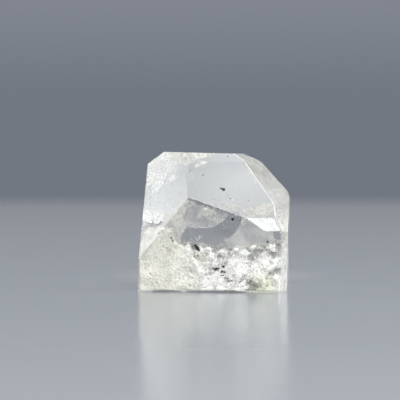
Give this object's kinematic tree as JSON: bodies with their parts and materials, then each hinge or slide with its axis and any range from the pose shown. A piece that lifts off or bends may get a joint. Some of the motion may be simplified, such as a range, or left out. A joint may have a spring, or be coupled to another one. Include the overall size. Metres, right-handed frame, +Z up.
{
  "type": "topaz crystal",
  "caption": "Colourless gem topaz crystal with a flat-topped pyramid end and a broken base that it stands on.",
  "frame": {"origin": "middle of the broken base, on the surface that the crystal stands on", "axes": "+Z up along the prism, -Y the side that the big front prism face looks to, +X to the right of that face"},
  "size_m": [0.024, 0.0194, 0.0215],
  "materials": {
    "topaz": "clear colourless natural crystal, refractive index 1.62, bright flat faces, frosted on the broken base",
    "frosted_topaz": "white to cream sugary topaz, crowded with tiny cracks and bubbles",
    "cleavage": "thin open cracks and bubble veils inside the crystal, silvery where they catch the light",
    "mineral_specks": "opaque brown-black grains of another mineral, sealed in"
  },
  "bodies": {
    "root": {"crystal": "topaz"}
  },
  "joints": []
}
